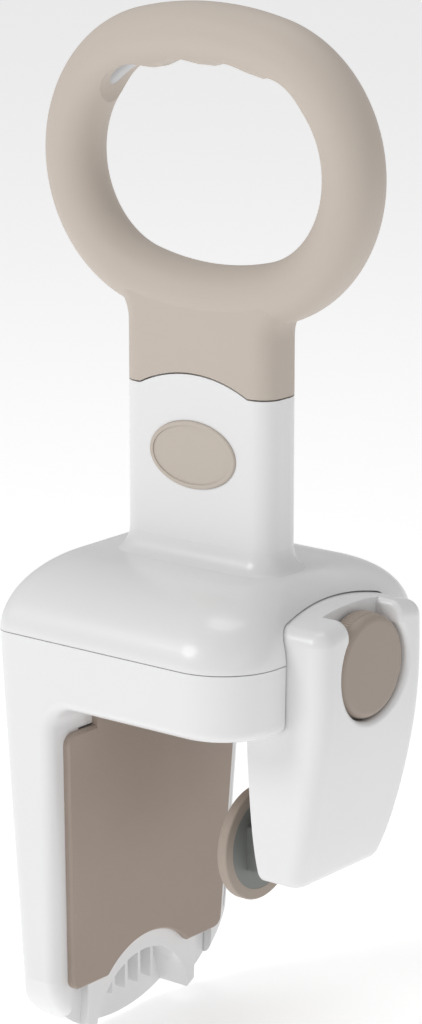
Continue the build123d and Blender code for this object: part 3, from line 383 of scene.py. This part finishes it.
# %% [markdown]
# ## Grip ridges on the knob
# The knob is turned with two fingers through the open top of its pocket, so its rim is ribbed. Each
# rib is a thin rod that lies half in the rim. A circle of points carries one rod each; the tree stands
# the ring up so that it turns about the screw's axis.

# %% Ridge ring tree
axis_lo, axis_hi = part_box("lead_screw")
axis_z = (axis_lo.z + axis_hi.z) / 2
along_x = (0, math.pi / 2, 0)


def build_ridge_ring(centre):
    tree = new_tree("ring of ridges", (
        ("Count", "NodeSocketInt", 90),
        ("Radius", "NodeSocketFloat", 22 * mm),
        ("Ridge radius", "NodeSocketFloat", 0.4 * mm),
        ("Ridge length", "NodeSocketFloat", 6 * mm),
    ))
    start = put(tree, "NodeGroupInput", (-600, 0))
    ring = put(tree, "GeometryNodeMeshCircle", (-300, 100))
    ridge = put(tree, "GeometryNodeMeshCylinder", (-300, -200))
    ridge.inputs["Vertices"].default_value = 6
    copies = put(tree, "GeometryNodeInstanceOnPoints", (100, 0))
    join(tree, start.outputs["Count"], ring.inputs["Vertices"])
    join(tree, start.outputs["Radius"], ring.inputs["Radius"])
    join(tree, start.outputs["Ridge radius"], ridge.inputs["Radius"])
    join(tree, start.outputs["Ridge length"], ridge.inputs["Depth"])
    join(tree, ring.outputs["Mesh"], copies.inputs["Points"])
    join(tree, ridge.outputs["Mesh"], copies.inputs["Instance"])
    end_tree(tree, start, copies.outputs["Instances"], along_x, centre)
    return tree


# %% Grow the ridges
knob_lo, knob_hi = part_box("knob")
knob_radius = (knob_hi.y - knob_lo.y) / 2
ridge_count = 96
ridge_radius = 0.42 * mm
ridge_sunk = 0.12 * mm          # how far the middle of a ridge lies inside the rim
ridge_length = 5.6 * mm
ridge_middle = knob_hi.x - 7.0 * mm
grow(
    "knob_ridges", build_ridge_ring((ridge_middle, 0, axis_z)),
    {"Count": ridge_count, "Radius": knob_radius - ridge_sunk, "Ridge radius": ridge_radius,
     "Ridge length": ridge_length},
    knob_plastic, "knob")

# %% [markdown]
# ## The thread of the lead screw
# The screw draws the jaw in by eight millimetres a turn, with two starts, so two helices wind round a
# core. Each helix is a spiral curve that carries a small trapezoid. The solid in the frame is a plain
# rod of the same outer size; the threaded piece, with its smooth neck, takes that rod's place.


# %% Thread tree
def rod(tree, length, radius, height):
    """A cylinder that stands on the origin and reaches up by its length."""
    shape = put(tree, "GeometryNodeMeshCylinder", (-300, height))
    shape.inputs["Vertices"].default_value = 48
    half = put(tree, "ShaderNodeMath", (-500, height - 150), operation="MULTIPLY")
    half.inputs[1].default_value = 0.5
    upwards = put(tree, "ShaderNodeCombineXYZ", (-300, height - 200))
    lifted = put(tree, "GeometryNodeTransform", (-100, height))
    join(tree, radius, shape.inputs["Radius"])
    join(tree, length, shape.inputs["Depth"])
    join(tree, length, half.inputs[0])
    join(tree, half.outputs[0], upwards.inputs["Z"])
    join(tree, shape.outputs["Mesh"], lifted.inputs["Geometry"])
    join(tree, upwards.outputs[0], lifted.inputs["Translation"])
    return lifted.outputs[0]


def build_thread(centre):
    tree = new_tree("two-start thread", (
        ("Length", "NodeSocketFloat", 100 * mm),
        ("Turns", "NodeSocketFloat", 12.0),
        ("Mean radius", "NodeSocketFloat", 5.5 * mm),
        ("Core radius", "NodeSocketFloat", 5.2 * mm),
        ("Core length", "NodeSocketFloat", 104 * mm),
        ("Neck radius", "NodeSocketFloat", 4.5 * mm),
        ("Whole length", "NodeSocketFloat", 136 * mm),
        ("Run in", "NodeSocketVector", (0, 0, 2 * mm)),
        ("Ridge height", "NodeSocketFloat", 1.0 * mm),
        ("Ridge width", "NodeSocketFloat", 2.2 * mm),
    ))
    start = put(tree, "NodeGroupInput", (-900, 0))
    spiral = put(tree, "GeometryNodeCurveSpiral", (-600, 100))
    spiral.inputs["Resolution"].default_value = 28
    profile = put(tree, "GeometryNodeCurvePrimitiveQuadrilateral", (-600, -200), mode="TRAPEZOID")
    profile.inputs["Offset"].default_value = 0.0
    narrow = put(tree, "ShaderNodeMath", (-760, -300), operation="MULTIPLY")
    narrow.inputs[1].default_value = 0.6
    thread = put(tree, "GeometryNodeCurveToMesh", (-300, 0))
    thread.inputs["Fill Caps"].default_value = True
    upright = put(tree, "GeometryNodeSetCurveNormal", (-450, 100), mode="Z_UP")
    first = put(tree, "GeometryNodeTransform", (-100, 50))
    second = put(tree, "GeometryNodeTransform", (50, -150))
    second.inputs["Rotation"].default_value = (0, 0, math.pi)
    both = put(tree, "GeometryNodeJoinGeometry", (250, 0))
    join(tree, start.outputs["Length"], spiral.inputs["Height"])
    join(tree, start.outputs["Turns"], spiral.inputs["Rotations"])
    join(tree, start.outputs["Mean radius"], spiral.inputs["Start Radius"])
    join(tree, start.outputs["Mean radius"], spiral.inputs["End Radius"])
    join(tree, start.outputs["Ridge width"], profile.inputs["Bottom Width"])
    join(tree, start.outputs["Ridge width"], narrow.inputs[0])
    join(tree, narrow.outputs[0], profile.inputs["Top Width"])
    join(tree, start.outputs["Ridge height"], profile.inputs["Height"])
    join(tree, spiral.outputs["Curve"], upright.inputs["Curve"])
    join(tree, upright.outputs["Curve"], thread.inputs["Curve"])
    join(tree, profile.outputs["Curve"], thread.inputs["Profile Curve"])
    join(tree, thread.outputs["Mesh"], first.inputs["Geometry"])
    join(tree, start.outputs["Run in"], first.inputs["Translation"])
    join(tree, first.outputs[0], second.inputs["Geometry"])
    core = rod(tree, start.outputs["Core length"], start.outputs["Core radius"], -350)
    neck = rod(tree, start.outputs["Whole length"], start.outputs["Neck radius"], -650)
    for shape in (first.outputs[0], second.outputs[0], core, neck):
        join(tree, shape, both.inputs["Geometry"])
    end_tree(tree, start, both.outputs[0], along_x, centre)
    return tree


# %% [markdown]
# ## Ribs under the seat and rings on the round pad
# Rubber that has to hold on wet enamel is ribbed. Under the saddle the ribs run along the wall of the
# tub; on the round pad they are rings about its middle. A line of points carries the straight ribs.
# For the rings, each point carries a circle that is scaled by its own radius, and only then does the
# curve get its thickness, so all the rings are equally thick.


# %% Rib and ring trees
def build_ribs(first):
    tree = new_tree("row of ribs", (
        ("Count", "NodeSocketInt", 12),
        ("Pitch", "NodeSocketVector", (4 * mm, 0, 0)),
        ("Size", "NodeSocketVector", (1.4 * mm, 70 * mm, 0.8 * mm)),
    ))
    start = put(tree, "NodeGroupInput", (-600, 0))
    row = put(tree, "GeometryNodeMeshLine", (-300, 100), mode="OFFSET")
    rib = put(tree, "GeometryNodeMeshCube", (-300, -200))
    copies = put(tree, "GeometryNodeInstanceOnPoints", (100, 0))
    join(tree, start.outputs["Count"], row.inputs["Count"])
    join(tree, start.outputs["Pitch"], row.inputs["Offset"])
    join(tree, start.outputs["Size"], rib.inputs["Size"])
    join(tree, row.outputs["Mesh"], copies.inputs["Points"])
    join(tree, rib.outputs["Mesh"], copies.inputs["Instance"])
    end_tree(tree, start, copies.outputs["Instances"], (0, 0, 0), first)
    return tree


def build_rings(centre):
    tree = new_tree("rings on a face", (
        ("Count", "NodeSocketInt", 5),
        ("Inner radius", "NodeSocketFloat", 5 * mm),
        ("Step", "NodeSocketFloat", 4 * mm),
        ("Thickness", "NodeSocketFloat", 0.6 * mm),
    ))
    start = put(tree, "NodeGroupInput", (-900, 0))
    points = put(tree, "GeometryNodeMeshLine", (-600, 200), mode="OFFSET")
    points.inputs["Offset"].default_value = (0, 0, 0)
    number = put(tree, "GeometryNodeInputIndex", (-900, -250))
    out = put(tree, "ShaderNodeMath", (-700, -200), operation="MULTIPLY_ADD")
    circle = put(tree, "GeometryNodeCurvePrimitiveCircle", (-600, 0))
    circle.inputs["Resolution"].default_value = 64
    circle.inputs["Radius"].default_value = 1.0
    copies = put(tree, "GeometryNodeInstanceOnPoints", (-300, 100))
    flat = put(tree, "GeometryNodeRealizeInstances", (-120, 100))
    section = put(tree, "GeometryNodeCurvePrimitiveCircle", (-300, -200))
    section.inputs["Resolution"].default_value = 8
    tube = put(tree, "GeometryNodeCurveToMesh", (100, 0))
    join(tree, start.outputs["Count"], points.inputs["Count"])
    join(tree, number.outputs[0], out.inputs[0])
    join(tree, start.outputs["Step"], out.inputs[1])
    join(tree, start.outputs["Inner radius"], out.inputs[2])
    join(tree, points.outputs["Mesh"], copies.inputs["Points"])
    join(tree, circle.outputs["Curve"], copies.inputs["Instance"])
    join(tree, out.outputs[0], copies.inputs["Scale"])
    join(tree, copies.outputs["Instances"], flat.inputs["Geometry"])
    join(tree, flat.outputs[0], tube.inputs["Curve"])
    join(tree, start.outputs["Thickness"], section.inputs["Radius"])
    join(tree, section.outputs["Curve"], tube.inputs["Profile Curve"])
    end_tree(tree, start, tube.outputs["Mesh"], along_x, centre)
    return tree


# %% Grow the thread of the lead screw
screw_radius = (axis_hi.z - axis_lo.z) / 2
strut_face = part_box("jaw_strut")[0].x
core_length = strut_face - 0.3 * mm - axis_lo.x
run_in = 2.0 * mm
ridge_height = 1.0 * mm
ridge_width = 2.4 * mm
core_depth = 0.8 * mm           # from the outer radius down to the core
neck_radius = 4.5 * mm
thread_length = core_length - 2 * run_in
lead = 8 * mm
screw_thread = grow(
    "lead_screw_threaded", build_thread((axis_lo.x, 0, axis_z)),
    {"Length": thread_length, "Turns": thread_length / lead, "Mean radius": screw_radius - ridge_height / 2,
     "Core radius": screw_radius - core_depth, "Core length": core_length,
     "Neck radius": neck_radius, "Whole length": axis_hi.x - axis_lo.x, "Run in": (0, 0, run_in),
     "Ridge height": ridge_height, "Ridge width": ridge_width},
    steel, "knob")
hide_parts("lead_screw")

# %% Grow the ribs and the rings
seat_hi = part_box("wall_pad")[1]
strip_half = 40 * mm
rib_pitch = 4 * mm
first_rib = Vector((-14 * mm, 0, 0.15 * mm))
rib_size = (1.6 * mm, 2 * strip_half - 6 * mm, 0.9 * mm)
rib_count = int((seat_hi.x - first_rib.x - 2 * mm) / rib_pitch) + 1
grow(
    "seat_ribs", build_ribs(first_rib),
    {"Count": rib_count, "Pitch": (rib_pitch, 0, 0), "Size": rib_size},
    pad_rubber, "base")
cup_lo, cup_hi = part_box("pad_cup")
cup_z = (cup_lo.z + cup_hi.z) / 2
grow(
    "cup_rings", build_rings((cup_lo.x + 0.15 * mm, 0, cup_z)),
    {"Count": 5, "Inner radius": 4.5 * mm, "Step": 4.2 * mm, "Thickness": 0.55 * mm},
    cup_rubber, "pad")

# %% [markdown]
# ## Floor, light and camera
# A pale floor just below the handle, with a faint glow of its own, and an even world give the plain
# look of a product picture. A large key light from the front left shapes the loop and the dome, a
# weaker one from the right keeps the jaw readable, and the camera stands to the right of the front, a
# little above.


# %% Floor
def pale_material():
    material = bpy.data.materials.new("pale floor")
    material.use_nodes = True
    shader = material.node_tree.nodes["Principled BSDF"]
    shader.inputs["Base Color"].default_value = (0.92, 0.92, 0.92, 1)
    shader.inputs["Roughness"].default_value = 0.9
    shader.inputs["Emission Color"].default_value = (1, 1, 1, 1)
    shader.inputs["Emission Strength"].default_value = 0.42
    return material


floor_size = 12.0
floor_z = cad_box[0].z - 2 * mm
bpy.ops.mesh.primitive_plane_add(size=floor_size, location=(0, 0, floor_z))
floor = bpy.context.object
floor.name = "floor"
floor.data.materials.append(pale_material())


# %% Lights
def area_light(name, place, target, size, power):
    data = bpy.data.lights.new(name, "AREA")
    data.shape = "DISK"
    data.size = size
    data.energy = power
    lamp = bpy.data.objects.new(name, data)
    lamp.location = place
    lamp.rotation_euler = (Vector(target) - Vector(place)).to_track_quat("-Z", "Y").to_euler()
    bpy.context.scene.collection.objects.link(lamp)
    return lamp


middle = (cad_box[0] + cad_box[1]) / 2
area_light("key", (-0.9, -1.8, 1.3), middle, 1.0, 15)
area_light("fill", (1.9, -0.9, 0.9), middle, 1.4, 2)
area_light("top", (-0.2, 0.2, 1.9), middle, 1.0, 7)


# %% World: white for the camera, soft grey for the light it gives
def studio_world(light, seen):
    world = bpy.data.worlds.new("studio")
    world.use_nodes = True
    tree = world.node_tree
    tree.nodes.clear()
    ray = put(tree, "ShaderNodeLightPath", (-400, 200))
    strength = put(tree, "ShaderNodeMix", (-150, 0), data_type="FLOAT")
    strength.inputs["A"].default_value = light
    strength.inputs["B"].default_value = seen
    background = put(tree, "ShaderNodeBackground", (100, 0))
    background.inputs["Color"].default_value = (1, 1, 1, 1)
    output = put(tree, "ShaderNodeOutputWorld", (300, 0))
    join(tree, ray.outputs["Is Camera Ray"], strength.inputs["Factor"])
    join(tree, strength.outputs["Result"], background.inputs["Strength"])
    join(tree, background.outputs[0], output.inputs["Surface"])
    return world


bpy.context.scene.world = studio_world(0.42, 1.0)
bpy.context.scene.view_settings.view_transform = "Standard"
bpy.context.scene.view_settings.look = "None"

# %% Camera
camera_data = bpy.data.cameras.new("camera")
camera = bpy.data.objects.new("camera", camera_data)
bpy.context.scene.collection.objects.link(camera)
camera_turn = math.radians(38.3)
camera_rise = math.radians(14.5)
camera_reach = 1.5308
look_at = Vector((0, 0, 0.080))
camera.location = look_at + camera_reach * Vector((
    math.cos(camera_rise) * math.sin(camera_turn),
    -math.cos(camera_rise) * math.cos(camera_turn),
    math.sin(camera_rise)))
camera.rotation_euler = (look_at - camera.location).to_track_quat("-Z", "Y").to_euler()
camera_data.sensor_fit = "VERTICAL"
camera_data.sensor_height = 24.0
camera_data.lens = 24.0 * 3592.6 / 1024
bpy.context.scene.camera = camera
print("camera at", [round(c, 3) for c in camera.location])
